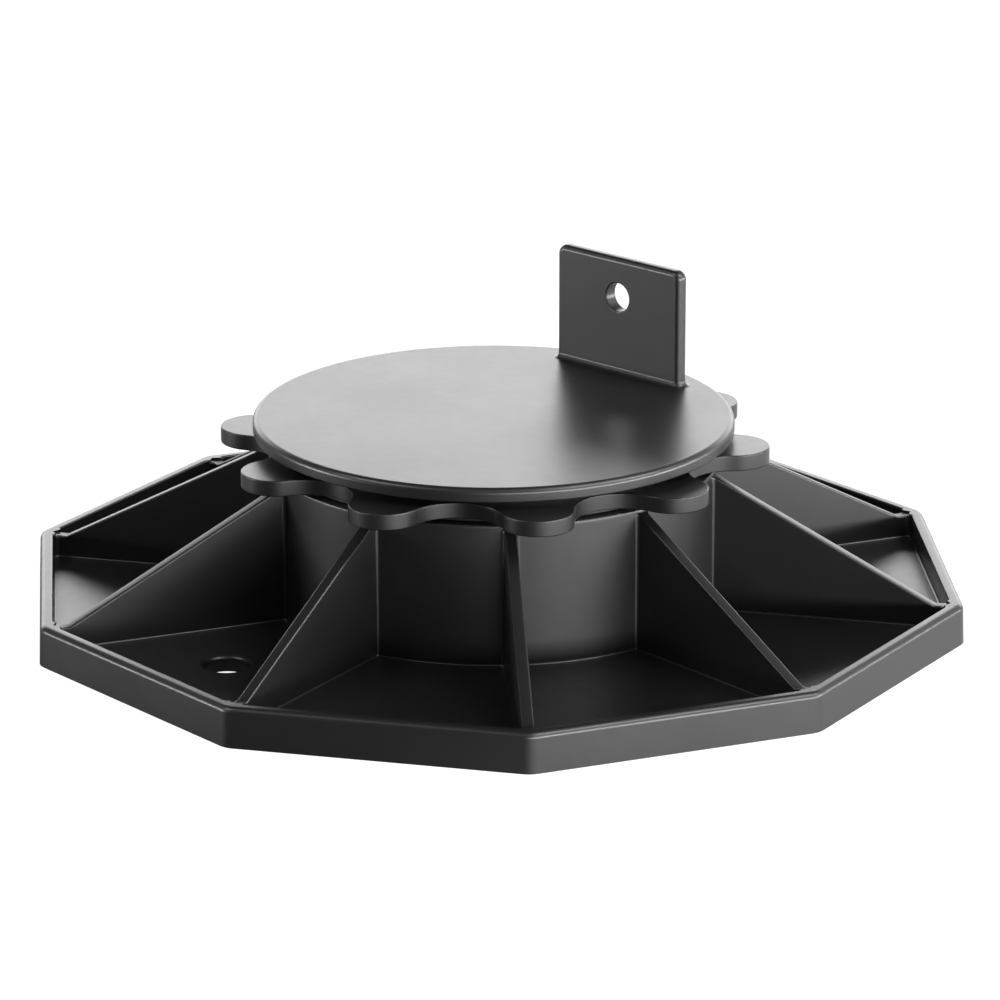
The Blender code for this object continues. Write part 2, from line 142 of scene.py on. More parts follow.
THREAD_ROOT = THREAD_RADIUS - THREAD_DEPTH
STEM_BORE = THREAD_ROOT - STEM_WALL
COLLAR_RADIUS = THREAD_RADIUS + THREAD_PLAY + COLLAR_WALL
BOSS_RADIUS = THREAD_RADIUS + THREAD_PLAY + BOSS_WALL
BORE_RADIUS = COLLAR_RADIUS + FIT_GAP
HUB_RADIUS = BORE_RADIUS + HUB_WALL
LAND_RADIUS = COLLAR_RADIUS + LAND_WIDTH
VALLEY_RADIUS = LAND_RADIUS + LAND_MARGIN
LOBE_REACH = VALLEY_RADIUS + LOBE_LENGTH
PLATE_RADIUS = HUB_RADIUS + PLATE_OVERHANG
TAB_REACH = PLATE_RADIUS - TAB_INSET
LAND_LEVEL = HUB_HEIGHT + FIT_GAP
FLANGE_LOW = LAND_LEVEL + FLANGE_LIFT
FLANGE_TOP = FLANGE_LOW + FLANGE_THICKNESS
BOSS_TOP = FLANGE_TOP + BOSS_HEIGHT
PLATE_LOW = BOSS_TOP + FIT_GAP
PLATE_TOP = PLATE_LOW + PLATE_THICKNESS
TAB_HOLE_LEVEL = PLATE_TOP + TAB_HEIGHT - TAB_HOLE_DROP
print(f"plate top at {PLATE_TOP / MM:.1f} mm, model's top at {cad_box[1][2] / MM:.1f} mm")

# %% [markdown]
# ## Camera
#
# The camera stands where the photograph was taken from: 1.22 m away, 18 degrees above the horizon, and to the
# right of the side that the screw tab faces. A long lens keeps the ten sides nearly free of perspective. The
# camera comes first, so that every later piece can be judged in the real frame.

# %% Camera
CAMERA_PLACE = Vector((0.77441, -0.86309, 0.40792))
CAMERA_AIM = Vector((0.0, 0.00196, 0.02263))
CAMERA_LENS = 210.57
SENSOR_WIDTH = 36
CAMERA_REACH = 20


def make_camera():
    data = bpy.data.cameras.new("studio_camera")
    data.sensor_width = SENSOR_WIDTH
    data.lens = CAMERA_LENS
    data.clip_end = CAMERA_REACH
    camera = bpy.data.objects.new("studio_camera", data)
    camera.location = CAMERA_PLACE
    camera.rotation_euler = (CAMERA_AIM - CAMERA_PLACE).to_track_quat("-Z", "Y").to_euler()
    bpy.context.collection.objects.link(camera)
    bpy.context.scene.camera = camera


make_camera()
print("camera distance", round((CAMERA_PLACE - CAMERA_AIM).length, 3), "m")

# %% [markdown]
# ## Node trees as expressions
#
# Materials and Geometry Nodes are both trees of small steps. Written node by node they are long and hard to
# read, so one small class wraps a node's output and lets Python's own operators add the Math nodes. Any other
# node comes from its one method, which takes the node's type, its settings and what goes into its sockets.


# %% A socket that Python can calculate with
class Wire:
    """A node's output. Adding, multiplying and so on makes the Math nodes that do it."""

    def __init__(self, tree, socket=None):
        self.tree = tree
        self.socket = socket

    def node(self, kind, settings=None, sockets=None, output=0):
        """Add a node: settings first, then a value or a link for each named or numbered socket."""
        made = self.tree.nodes.new(kind)
        for name, value in (settings or {}).items():
            setattr(made, name, value)
        for name, value in (sockets or {}).items():
            if isinstance(value, Wire):
                self.tree.links.new(value.socket, made.inputs[name])
            else:
                made.inputs[name].default_value = value
        return Wire(self.tree, made.outputs[output] if made.outputs else None)

    def math(self, operation, *values):
        return self.node("ShaderNodeMath", {"operation": operation}, dict(enumerate(values)))

    def __add__(self, other):
        return self.math("ADD", self, other)

    def __radd__(self, other):
        return self.math("ADD", other, self)

    def __sub__(self, other):
        return self.math("SUBTRACT", self, other)

    def __rsub__(self, other):
        return self.math("SUBTRACT", other, self)

    def __mul__(self, other):
        return self.math("MULTIPLY", self, other)

    def __rmul__(self, other):
        return self.math("MULTIPLY", other, self)

    def __truediv__(self, other):
        return self.math("DIVIDE", self, other)

    def between(self, low, high):
        """The value, kept from falling below low or rising above high."""
        return self.math("MINIMUM", self.math("MAXIMUM", self, low), high)


# %% [markdown]
# ## The plastic
#
# All three mouldings are black polypropylene. Fresh from the mould it is satin: it has almost no colour of its
# own and shows by what it reflects, so roughness and relief matter more than base colour. A fine grain, cut
# into the mould, breaks up the reflection, and slow clouds in the roughness are where the melt cooled faster.


# %% Black moulded plastic
DARK_TINT = (0.0055, 0.0055, 0.0057, 1)
PALE_TINT = (0.0085, 0.0085, 0.0088, 1)
PLASTIC_IOR = 1.6
MEAN_ROUGHNESS = 0.36
CLOUD_ROUGHNESS = 0.06
MOTTLE_ROUGHNESS = 0.05
CLOUD_SCALE = 35
MOTTLE_SCALE = 420
GRAIN_SCALE = 1900
GRAIN_DEPTH = 0.012 * MM
GRAIN_SHARE = 0.6
MOTTLE_SHARE = 0.4


def moulded_black(name):
    """Satin black plastic: slow clouds and a fine mottle vary its roughness, and a cut grain its relief."""
    material = bpy.data.materials.new(name)
    material.use_nodes = True
    tree = material.node_tree
    tree.nodes.clear()
    wire = Wire(tree)
    place = wire.node("ShaderNodeTexCoord", output="Object")
    clouds = wire.node("ShaderNodeTexNoise", None, {"Vector": place, "Scale": CLOUD_SCALE, "Detail": 3}, "Fac")
    mottle = wire.node("ShaderNodeTexNoise", None, {"Vector": place, "Scale": MOTTLE_SCALE, "Detail": 4}, "Fac")
    grain = wire.node("ShaderNodeTexNoise", None, {"Vector": place, "Scale": GRAIN_SCALE, "Detail": 2}, "Fac")
    rough = MEAN_ROUGHNESS + CLOUD_ROUGHNESS * (clouds - 0.5) + MOTTLE_ROUGHNESS * (mottle - 0.5)
    tint = wire.node("ShaderNodeMix", {"data_type": "RGBA"}, {0: clouds, 6: DARK_TINT, 7: PALE_TINT}, 2)
    relief = grain * GRAIN_SHARE + mottle * MOTTLE_SHARE
    bump = wire.node("ShaderNodeBump", None, {"Height": relief, "Distance": GRAIN_DEPTH, "Strength": 1})
    shader = wire.node("ShaderNodeBsdfPrincipled", None,
                       {"Base Color": tint, "Roughness": rough, "Metallic": 0, "IOR": PLASTIC_IOR, "Normal": bump})
    wire.node("ShaderNodeOutputMaterial", None, {"Surface": shader})
    return material


BLACK = moulded_black("black_polypropylene")
print("material", BLACK.name)

# %% [markdown]
# ## Drawing with points
#
# Most faces here lie between rows of points: a plan outline at one level, the same outline a little smaller at
# the next, and so on. These helpers make arcs, lift outlines to a level and skin rows with quads. A mesh is
# finished by merging what its neighbours share and turning all faces outwards.


# %% Points, rows and skins
def polar(radius, angle):
    return Vector((radius * math.cos(angle), radius * math.sin(angle)))


def arc(centre, radius, start, end, steps):
    return [centre + polar(radius, start + (end - start) * i / steps) for i in range(steps + 1)]


def circle(radius, steps):
    return [polar(radius, TURN * i / steps) for i in range(steps)]


def lift(points, z):
    return [Vector((p.x, p.y, z)) for p in points]


def lift_each(points, heights):
    return [Vector((p.x, p.y, z)) for p, z in zip(points, heights)]


def add_face(bm, points):
    return bm.faces.new([bm.verts.new(p) for p in points])


def add_skin(bm, rows, closed=False):
    """Quads between neighbouring rows of points; a closed row also joins its last point to its first."""
    made = [[bm.verts.new(p) for p in row] for row in rows]
    for low, high in zip(made, made[1:]):
        for i in range(len(low) if closed else len(low) - 1):
            j = (i + 1) % len(low)
            bm.faces.new((low[i], low[j], high[j], high[i]))
    return made


def merged(bm):
    bmesh.ops.remove_doubles(bm, verts=bm.verts, dist=MERGE)
    bmesh.ops.dissolve_degenerate(bm, dist=MERGE, edges=bm.edges)
    bmesh.ops.recalc_face_normals(bm, faces=bm.faces)
    return bm


def as_object(name, bm):
    mesh = bpy.data.meshes.new(name)
    bm.to_mesh(mesh)
    bm.free()
    made = bpy.data.objects.new(name, mesh)
    bpy.context.collection.objects.link(made)
    return made


def report(thing):
    """Say how a finished mesh came out; no open edge means that it is one closed skin."""
    bm = bmesh.new()
    bm.from_mesh(thing.data)
    open_edges = sum(1 for edge in bm.edges if not edge.is_manifold)
    print(f"{thing.name}: {len(bm.faces)} faces, {open_edges} open edges, {bm.calc_volume() * 1e6:.1f} cm3")
    bm.free()


# %% [markdown]
# ## Copies about the axis
#
# The tray, the ring and the stiffeners each repeat one slice about the same axis. A Geometry Nodes tree does
# it: it spreads points by number, puts the slice on each one with its own turn, makes the copies real, merges
# the seams and sets the finish. One tree serves all three, because its sizes are named inputs.


# %% Geometry Nodes: one slice, many times about the axis
def new_tree(name, inputs):
    """An empty Geometry Nodes tree with named inputs, and a Wire for each of them."""
    tree = bpy.data.node_groups.new(name, "GeometryNodeTree")
    tree.interface.new_socket("Geometry", in_out="INPUT", socket_type="NodeSocketGeometry")
    for label, kind in inputs:
        tree.interface.new_socket(label, in_out="INPUT", socket_type=kind)
    tree.interface.new_socket("Geometry", in_out="OUTPUT", socket_type="NodeSocketGeometry")
    group_in = tree.nodes.new("NodeGroupInput")
    return tree, {socket.name: Wire(tree, socket) for socket in group_in.outputs if socket.name}


def close_tree(tree, geometry):
    group_out = tree.nodes.new("NodeGroupOutput")
    tree.links.new(geometry.socket, group_out.inputs["Geometry"])


def slices_tree():
    tree, put = new_tree("slices_about_the_axis", [
        ("Copies", "NodeSocketInt"),
        ("Turn", "NodeSocketFloat"),
        ("Seam", "NodeSocketFloat"),
        ("Finish", "NodeSocketMaterial"),
    ])
    wire = Wire(tree)
    number = wire.node("GeometryNodeInputIndex")
    angle = number * TURN / put["Copies"] + put["Turn"]
    spin = wire.node("ShaderNodeCombineXYZ", None, {"Z": angle})
    points = wire.node("GeometryNodePoints", None, {"Count": put["Copies"]})
    copies = wire.node("GeometryNodeInstanceOnPoints", None,
                       {"Points": points, "Instance": put["Geometry"], "Rotation": spin})
    real = wire.node("GeometryNodeRealizeInstances", None, {"Geometry": copies})
    whole = wire.node("GeometryNodeMergeByDistance", None, {"Geometry": real, "Distance": put["Seam"]})
    close_tree(tree, wire.node("GeometryNodeSetMaterial", None, {"Geometry": whole, "Material": put["Finish"]}))
    return tree


def apply_modifiers(thing):
    """Put what the object's modifiers make of its mesh in its place."""
    depsgraph = bpy.context.evaluated_depsgraph_get()
    made = bpy.data.meshes.new_from_object(thing.evaluated_get(depsgraph))
    thing.modifiers.clear()
    old = thing.data
    thing.data = made
    bpy.data.meshes.remove(old)


def run_tree(thing, tree, values):
    """Run a tree on an object, and put the result in its mesh."""
    modifier = thing.modifiers.new(tree.name, "NODES")
    modifier.node_group = tree
    for item in tree.interface.items_tree:
        if item.in_out == "INPUT" and item.name in values:
            modifier[item.identifier] = values[item.name]
    apply_modifiers(thing)
    return thing


SLICES = slices_tree()


def repeat_slice(name, bm, copies, turn):
    slice_object = as_object(name, bm)
    return run_tree(slice_object, SLICES, {"Copies": copies, "Turn": turn, "Seam": MERGE, "Finish": BLACK})


# %% [markdown]
# ## Cutting, joining and rounding
#
# Holes are cut and pieces joined with exact Booleans. Every outside edge of a moulding is slightly round,
# because steel can't be cut to a perfect corner and plastic wouldn't fill it, and those thin round edges catch
# the light. They are bevelled in the mesh, and weighted normals keep the flat faces beside them flat.


# %% Booleans and round edges
DRILL_STEPS = 64
SMOOTH_ANGLE = math.radians(38)
ROUND_ANGLE = math.radians(40)
FLAT_FACE_WEIGHT = 60
STEEP = 0.5
FACING = 0.9


def combine(target, tool, operation):
    """Join a tool shape to the target, or cut it away, then throw the tool away."""
    modifier = target.modifiers.new(tool.name, "BOOLEAN")
    modifier.operation = operation
    modifier.solver = "EXACT"
    modifier.object = tool
    apply_modifiers(target)
    bpy.data.objects.remove(tool, do_unlink=True)


def turned(profile, steps):
    """A closed solid turned about Z from (radius, height) points between its two ends."""
    bm = bmesh.new()
    made = add_skin(bm, [lift(circle(radius, steps), z) for radius, z in profile], closed=True)
    bm.faces.new(made[0])
    bm.faces.new(made[-1])
    return merged(bm)


def round_edges(thing, radius, chosen, segments=3):
    """Round the edges of a mesh that chosen(edge) picks."""
    bm = bmesh.new()
    bm.from_mesh(thing.data)
    bm.normal_update()
    edges = [edge for edge in bm.edges if chosen(edge)]
    bmesh.ops.bevel(bm, geom=edges, offset=radius, offset_type="OFFSET", segments=segments, profile=0.5,
                    affect="EDGES", clamp_overlap=False)
    merged(bm).to_mesh(thing.data)
    bm.free()
    return len(edges)


def finish_piece(thing, body):
    """Smooth shading with flat faces kept flat, the plastic, and the part of the model that it stands for."""
    mesh = thing.data
    mesh.materials.clear()
    mesh.materials.append(BLACK)
    mesh.polygons.foreach_set("material_index", [0] * len(mesh.polygons))
    mesh.shade_smooth()
    mesh.set_sharp_from_angle(angle=SMOOTH_ANGLE)
    weighted = thing.modifiers.new("flat_faces_stay_flat", "WEIGHTED_NORMAL")
    weighted.keep_sharp = True
    weighted.weight = FLAT_FACE_WEIGHT
    apply_modifiers(thing)
    report(thing)
    node = thing.name.replace("_skin", "")
    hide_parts(node)
    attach(thing, body)


# %% [markdown]
# ## The tray
#
# The tray has ten sides, with a rib from each corner to the hub. Half a rib and half the pocket beside it hold
# the whole pattern: the half is drawn for a rib along X, mirrored into a full slice and repeated ten times. Its
# walls lean by half a degree, as they must to leave the mould, and meet in small hollow fillets. Each rib ends
# level, a little lower than the rim, so the rim's inner edge runs on past it.


# %% Half a rib and half a pocket, in plan
HUB_STEPS = 10
FILLET_STEPS = 5
RIM_STEPS = 7
OUTER_STEPS = 6
FOOT_STEPS = 4
SHOULDER_STEPS = 8
SHOULDER_LEAD = 0.1
EDGE_ROWS = 6
STEP_AT = 3
MIDDLE = math.pi / SIDES
RIB_HALF = RIB_THICKNESS / 2
LOW_APOTHEM = BASE_RADIUS * math.cos(MIDDLE)
INNER_APOTHEM = LOW_APOTHEM - RIM_LEAN - RIM_WALL
INNER_CORNER = INNER_APOTHEM / math.cos(MIDDLE)
LAND_START = INNER_CORNER - RIB_LAND
RIB_HIGH = HUB_HEIGHT - RIB_STEP
RIB_END = RIM_HEIGHT - RIB_DROP
RIB_SLOPE = (RIB_HIGH - RIB_END) / (LAND_START - HUB_RADIUS)


def rib_top(x):
    """Height of a rib's sloping top, which turns level shortly before the rim."""
    return max(RIB_END, RIB_HIGH - RIB_SLOPE * (x - HUB_RADIUS))


def hub_edge():
    y = RIB_HALF + HUB_FILLET
    end = math.asin(y / (HUB_RADIUS + HUB_FILLET))
    return arc(Vector((0, 0)), HUB_RADIUS, MIDDLE, end, HUB_STEPS)


def rib_edge():
    """From the hub, round its fillet and along the rib, to where the rib's top turns level."""
    y = RIB_HALF + HUB_FILLET
    centre = Vector((math.sqrt((HUB_RADIUS + HUB_FILLET) ** 2 - y ** 2), y))
    start = math.atan2(centre.y, centre.x) + math.pi
    return arc(centre, HUB_FILLET, start, 1.5 * math.pi, FILLET_STEPS) + [Vector((LAND_START, RIB_HALF))]


def rim_edge():
    """The pocket's corner fillet and the rim's inner edge, to the middle of the side."""
    y = RIB_HALF + POCKET_FILLET
    centre = Vector(((INNER_APOTHEM - POCKET_FILLET - y * math.sin(MIDDLE)) / math.cos(MIDDLE), y))
    return arc(centre, POCKET_FILLET, -math.pi / 2, MIDDLE, RIM_STEPS) + [polar(INNER_APOTHEM, MIDDLE)]


def outer_rows():
    """The rim's outer wall and the rounding over it: rows of half a side and half its rounded corner."""
    rounding = [math.pi / 2 * i / EDGE_ROWS for i in range(EDGE_ROWS + 1)]
    rows = [(0, 0)]
    rows += [(RIM_LEAN + RIM_ROUND * (1 - math.cos(turn)), RIM_HEIGHT - RIM_ROUND * (1 - math.sin(turn)))
             for turn in rounding]
    centre = Vector(((LOW_APOTHEM - CORNER_ROUND) / math.cos(MIDDLE), 0))
    made = []
    for inset, z in rows:
        corner = arc(centre, CORNER_ROUND - inset, MIDDLE, 0, OUTER_STEPS)
        made.append(lift([polar(LOW_APOTHEM - inset, MIDDLE)] + corner, z))
    return made


def into_pocket(edge):
    """For each point of the pocket's edge, the direction straight into the pocket."""
    last = len(edge) - 1
    out = []
    for i in range(len(edge)):
        along = edge[min(i + 1, last)] - edge[max(i - 1, 0)]
        out.append(Vector((-along.y, along.x)).normalized())
    out[0] = polar(1, MIDDLE)
    out[-1] = -polar(1, MIDDLE)
    return out


print(f"rib slope {math.degrees(math.atan(RIB_SLOPE)):.1f} degrees")
print(f"pocket corner starts at x {rim_edge()[0].x / MM:.1f} mm")


# %% The slice, and ten of them
def half_slice():
    """Half a rib and half a pocket: pocket walls and floor, hub and bore, the rib's top, rim and underside."""
    bm = bmesh.new()
    hub = hub_edge()
    rib = rib_edge()
    rim = rim_edge()
    edge = hub + rib[1:] + rim
    hub_height = rib_top(hub[-1].x)
    rib_heights = [rib_top(p.x) for p in rib]
    heights = [hub_height] * len(hub) + rib_heights[1:] + [RIM_HEIGHT] * len(rim)

    rows = []
    for i in range(FOOT_STEPS + 1):
        turn = math.pi / 2 * i / FOOT_STEPS
        z = FLOOR + FLOOR_FILLET * (1 - math.sin(turn))
        row = []
        for p, n, top in zip(edge, into_pocket(edge), heights):
            q = p + n * ((top - FLOOR) * DRAFT + FLOOR_FILLET * (1 - math.cos(turn)))
            row.append(Vector((q.x, q.y, z)))
        rows.append(row)
    add_skin(bm, rows)
    add_face(bm, rows[-1])
    step = len(hub) + len(rib) - 1 + STEP_AT
    over_land = heights[:-len(rim)] + [RIB_END] * (STEP_AT + 1)
    add_skin(bm, [lift_each(edge[:step + 1], over_land), rows[0][:step + 1]])
    add_skin(bm, [lift(edge[step + 1:], RIM_HEIGHT), rows[0][step + 1:]])
    add_face(bm, [rows[0][step], Vector((*edge[step], RIB_END)), Vector((*edge[step], RIM_HEIGHT)),
                  Vector((*edge[step + 1], RIM_HEIGHT)), rows[0][step + 1]])

    over_rib = hub + [Vector((HUB_RADIUS, 0))]
    bore = [p * (BORE_RADIUS / HUB_RADIUS) for p in over_rib]
    wall_foot = lift(hub, hub_height) + [Vector((HUB_RADIUS, 0, rib_top(HUB_RADIUS)))]
    add_skin(bm, [wall_foot, lift(over_rib, HUB_HEIGHT), lift(bore, HUB_HEIGHT), lift(bore, 0)])

    land = Vector((LAND_START, 0, RIB_END))
    corner = Vector((INNER_CORNER, 0))
    add_face(bm, lift_each(rib, rib_heights) + [land, wall_foot[-1]])
    add_face(bm, lift([rib[-1]] + rim[:STEP_AT + 1] + [corner], RIB_END) + [land])
    add_skin(bm, [lift([rim[STEP_AT], corner], RIB_END), lift([rim[STEP_AT], corner], RIM_HEIGHT)])
    outer = outer_rows()
    add_face(bm, lift(rim[STEP_AT:], RIM_HEIGHT) + outer[-1] + lift([corner], RIM_HEIGHT))
    add_skin(bm, outer)
    add_face(bm, outer[0] + lift(reversed(bore), 0))
    return bm


def floor_drill():
    """A drill with a rounded shoulder, so that the hole's upper edge comes out rounded."""
    centre = Vector((FLOOR_HOLE_RADIUS + FLOOR_HOLE_ROUND, FLOOR - FLOOR_HOLE_ROUND))
    shoulder = arc(centre, FLOOR_HOLE_ROUND, math.pi, math.pi / 2, SHOULDER_STEPS)
    above = shoulder[-1] + (shoulder[-1] - shoulder[-2]) * SHOULDER_LEAD
    profile = [(FLOOR_HOLE_RADIUS, -FLOOR)] + [tuple(p) for p in shoulder[:-1] + [above]]
    return turned(profile + [(above.x, 2 * FLOOR)], DRILL_STEPS)


def make_tray():
    bm = half_slice()
    half = list(bm.verts) + list(bm.edges) + list(bm.faces)
    bmesh.ops.mirror(bm, geom=half, axis="Y", merge_dist=0)
    tray = repeat_slice("pedestal_base_skin", merged(bm), SIDES, BASE_TURN)

    def at_rib_end(face):
        heights = [v.co.z for v in face.verts]
        return abs(face.normal.z) < STEEP and min(heights) > RIB_END - MERGE and max(heights) < RIM_HEIGHT + MERGE

    def on_top(edge):
        high = min(v.co.z for v in edge.verts) > RIB_END - MOULD_EDGE
        sharp = any(at_rib_end(face) for face in edge.link_faces)
        return high and not sharp and edge.is_convex and edge.calc_face_angle(0) > ROUND_ANGLE

    rounded = round_edges(tray, MOULD_EDGE, on_top)
    reach = (HUB_RADIUS + INNER_APOTHEM) / 2 + FLOOR_HOLE_SHIFT
    place = polar(reach, BASE_TURN + TURN * (FLOOR_HOLE_POCKET - 0.5) / SIDES)
    drill = floor_drill()
    bmesh.ops.translate(drill, verts=drill.verts, vec=(place.x, place.y, 0))
    combine(tray, as_object("floor_drill", drill), "DIFFERENCE")
    print("round edges on the tray:", rounded)
    return tray


finish_piece(make_tray(), "base")

# %% [markdown]
# ## The thread
#
# The head stands on a coarse screw thread, wide and shallow so that a hand can turn it under load. A thread
# follows one rule: its section climbs by one pitch in each turn. Another Geometry Nodes tree takes the section
# as a line of points and lays it on a grid: along the grid it goes round, up the grid it goes from turn to
# turn. Past the two ends the section is pressed flat, so the thread runs out as it does in a mould.


# %% Geometry Nodes: a wound thread
def thread_tree():
    tree, put = new_tree("wound_thread", [
        ("Steps", "NodeSocketInt"),
        ("Turns", "NodeSocketInt"),
        ("Pitch", "NodeSocketFloat"),
        ("Start", "NodeSocketFloat"),
        ("Low", "NodeSocketFloat"),
        ("High", "NodeSocketFloat"),
        ("Seam", "NodeSocketFloat"),
        ("Finish", "NodeSocketMaterial"),
    ])
    wire = Wire(tree)
    size = wire.node("GeometryNodeAttributeDomainSize", None, {"Geometry": put["Geometry"]}, "Point Count")
    rows = size * put["Turns"]
    grid = wire.node("GeometryNodeMeshGrid", None,
                     {"Size X": 1, "Size Y": 1, "Vertices X": put["Steps"] + 1, "Vertices Y": rows})
    place = wire.node("GeometryNodeInputPosition")
    along = wire.node("ShaderNodeSeparateXYZ", None, {"Vector": place}, "X") + 0.5
    up = wire.node("ShaderNodeSeparateXYZ", None, {"Vector": place}, "Y") + 0.5
    row = wire.math("ROUND", up * (rows - 1))
    lap = wire.math("FLOOR", (row + 0.5) / size)
    section = wire.node("GeometryNodeSampleIndex", {"data_type": "FLOAT_VECTOR", "domain": "POINT"},
                        {"Geometry": put["Geometry"], "Value": place, "Index": row - lap * size})
    offset = wire.node("ShaderNodeSeparateXYZ", None, {"Vector": section}, "Z")
    crest = wire.node("ShaderNodeSeparateXYZ", None, {"Vector": section}, "X")
    first = wire.node("GeometryNodeSampleIndex", {"data_type": "FLOAT_VECTOR", "domain": "POINT"},
                      {"Geometry": put["Geometry"], "Value": place, "Index": 0})
    root = wire.node("ShaderNodeSeparateXYZ", None, {"Vector": first}, "X")
    level = put["Start"] + put["Pitch"] * (lap - 1 + along) + offset
    inside = wire.math("GREATER_THAN", level, put["Low"]) * wire.math("LESS_THAN", level, put["High"])
    reach = root + (crest - root) * inside
    angle = along * TURN
    point = wire.node("ShaderNodeCombineXYZ", None, {
        "X": reach * wire.math("COSINE", angle),
        "Y": reach * wire.math("SINE", angle),
        "Z": level.between(put["Low"], put["High"]),
    })
    wound = wire.node("GeometryNodeSetPosition", None, {"Geometry": grid, "Position": point})
    closed = wire.node("GeometryNodeMergeByDistance", None, {"Geometry": wound, "Distance": put["Seam"]})
    close_tree(tree, wire.node("GeometryNodeSetMaterial", None, {"Geometry": closed, "Material": put["Finish"]}))
    return tree


THREAD = thread_tree()
THREAD_STEPS = 120
THREAD_ROUND = 0.25 * MM
SPARE_TURNS = 3


def thread_section(play):
    """One turn of the section as (radius, height) points, its four corners slightly round."""
    root = THREAD_ROOT + play
    crest = THREAD_RADIUS + play
    half = (THREAD_CREST + play) / 2
    slant = Vector((crest - root, THREAD_FLANK)).normalized() * THREAD_ROUND
    foot = half + THREAD_FLANK
    upper = [(crest, half - THREAD_ROUND), (crest - slant.x, half + slant.y),
             (root + slant.x, foot - slant.y), (root, foot + THREAD_ROUND)]
    lower = [(radius, -height) for radius, height in reversed(upper)]
    return lower + upper


def wind_thread(name, low, high, play):
    """The outside of a thread from low to high, as an open tube whose two ends are plain circles."""
    mesh = bpy.data.meshes.new(name)
    mesh.from_pydata([(radius, 0, height) for radius, height in thread_section(play)], [], [])
    tube = bpy.data.objects.new(name, mesh)
    bpy.context.collection.objects.link(tube)
    return run_tree(tube, THREAD, {
        "Steps": THREAD_STEPS,
        "Turns": math.ceil((high - STEM_LOW) / THREAD_PITCH) + SPARE_TURNS,
        "Pitch": THREAD_PITCH,
        "Start": STEM_LOW,
        "Low": low,
        "High": high,
        "Seam": MERGE,
        "Finish": BLACK,
    })


# %% [markdown]
# ## The adjusting ring
#
# The ring is turned by hand, so its edge is ten finger lobes with hollows between them. A tenth of it is drawn
# with one lobe in the middle and repeated by the same tree as the tray. Its bore is cut with a tap: a rod with
# the stem's own thread, grown all round by the play that lets the two run.


# %% A tenth of the ring, and ten of them
RING_STEPS = 12
HALF_LOBE_STEPS = 14
HOLLOW_STEPS = 9
EDGE_STEPS = 3
RING_HALF = math.pi / LOBES


def lobe_outline(inset):
    """A lobe and half the hollow on each side of it, from one seam of the tenth to the other."""
    tip = LOBE_REACH - LOBE_RADIUS
    top = tip ** 2 - LOBE_RADIUS ** 2 + VALLEY_RADIUS ** 2 - 2 * tip * VALLEY_RADIUS * math.cos(RING_HALF)
    hollow = top / (2 * (LOBE_RADIUS + tip * math.cos(RING_HALF) - VALLEY_RADIUS))
    lobe = Vector((tip, 0))
    valley = polar(VALLEY_RADIUS + hollow, RING_HALF)
    across = valley - lobe
    lean = math.atan2(across.y, across.x)
    half_lobe = arc(lobe, LOBE_RADIUS - inset, 0, lean, HALF_LOBE_STEPS)
    half_hollow = arc(valley, hollow + inset, lean + math.pi, RING_HALF + math.pi, HOLLOW_STEPS)
    upper = half_lobe + half_hollow[1:]
    lower = [Vector((p.x, -p.y)) for p in reversed(upper[1:])]
    return lower + upper


def edge_rounding(z, side, inward):
    """Rows (inset, level) round a moulded edge that ends at level z; side is +1 above and -1 below."""
    rows = []
    for i in range(EDGE_STEPS + 1):
        turn = math.pi / 2 * i / EDGE_STEPS
        rows.append((FLANGE_EDGE * (1 - math.cos(turn)), z - side * FLANGE_EDGE * (1 - math.sin(turn))))
    return rows if inward else rows[::-1]


def ring_tenth():
    bm = bmesh.new()
    tenth = [-RING_HALF + 2 * RING_HALF * i / RING_STEPS for i in range(RING_STEPS + 1)]

    def ring_arc(radius):
        return [polar(radius, angle) for angle in tenth]

    rows = edge_rounding(FLANGE_LOW, -1, False) + edge_rounding(FLANGE_TOP, 1, True)
    flange = [lift(lobe_outline(inset), z) for inset, z in rows]
    add_skin(bm, flange)
    upper = [lift(ring_arc(BOSS_RADIUS), FLANGE_TOP)]
    upper += [lift(ring_arc(BOSS_RADIUS - inset), z) for inset, z in edge_rounding(BOSS_TOP, 1, True)]
    add_skin(bm, upper)
    collar_low = LAND_LEVEL - COLLAR_LENGTH
    lower = [lift(ring_arc(LAND_RADIUS), FLANGE_LOW), lift(ring_arc(LAND_RADIUS), LAND_LEVEL)]
    lower.append(lift(ring_arc(COLLAR_RADIUS), LAND_LEVEL))
    lower += [lift(ring_arc(COLLAR_RADIUS - inset), z) for inset, z in edge_rounding(collar_low, -1, True)]
    add_skin(bm, lower)
    add_face(bm, flange[-1] + upper[0][::-1])
    add_face(bm, flange[0] + lower[0][::-1])
    add_face(bm, upper[-1] + [Vector((0, 0, BOSS_TOP))])
    add_face(bm, lower[-1] + [Vector((0, 0, collar_low))])
    return merged(bm)


def make_ring():
    ring = repeat_slice("adjusting_ring_skin", ring_tenth(), LOBES, RING_TURN)
    tap = wind_thread("ring_tap", STEM_LOW, PLATE_LOW + 2 * THREAD_PITCH, THREAD_PLAY)
    bm = bmesh.new()
    bm.from_mesh(tap.data)
    bmesh.ops.holes_fill(bm, edges=[edge for edge in bm.edges if edge.is_boundary])
    merged(bm).to_mesh(tap.data)
    bm.free()
    combine(ring, tap, "DIFFERENCE")
    return ring


finish_piece(make_ring(), "ring")

# %% [markdown]
# ## The head
#
# The head is one moulding too: a round plate, the hollow threaded stem below it, a star of stiffeners inside
# the stem, and the screw tab on top. Each form is made closed and they are joined with Booleans. The tab gets
# its fillet before the hole is cut, and the hole's own edges are rounded last.


# %% Plate, stem and stiffeners
PLATE_STEPS = 192
PLATE_LOW_STEPS = 4
PLATE_TOP_STEPS = 8
BORE_STEPS = THREAD_STEPS
BOSS_STEPS = 3


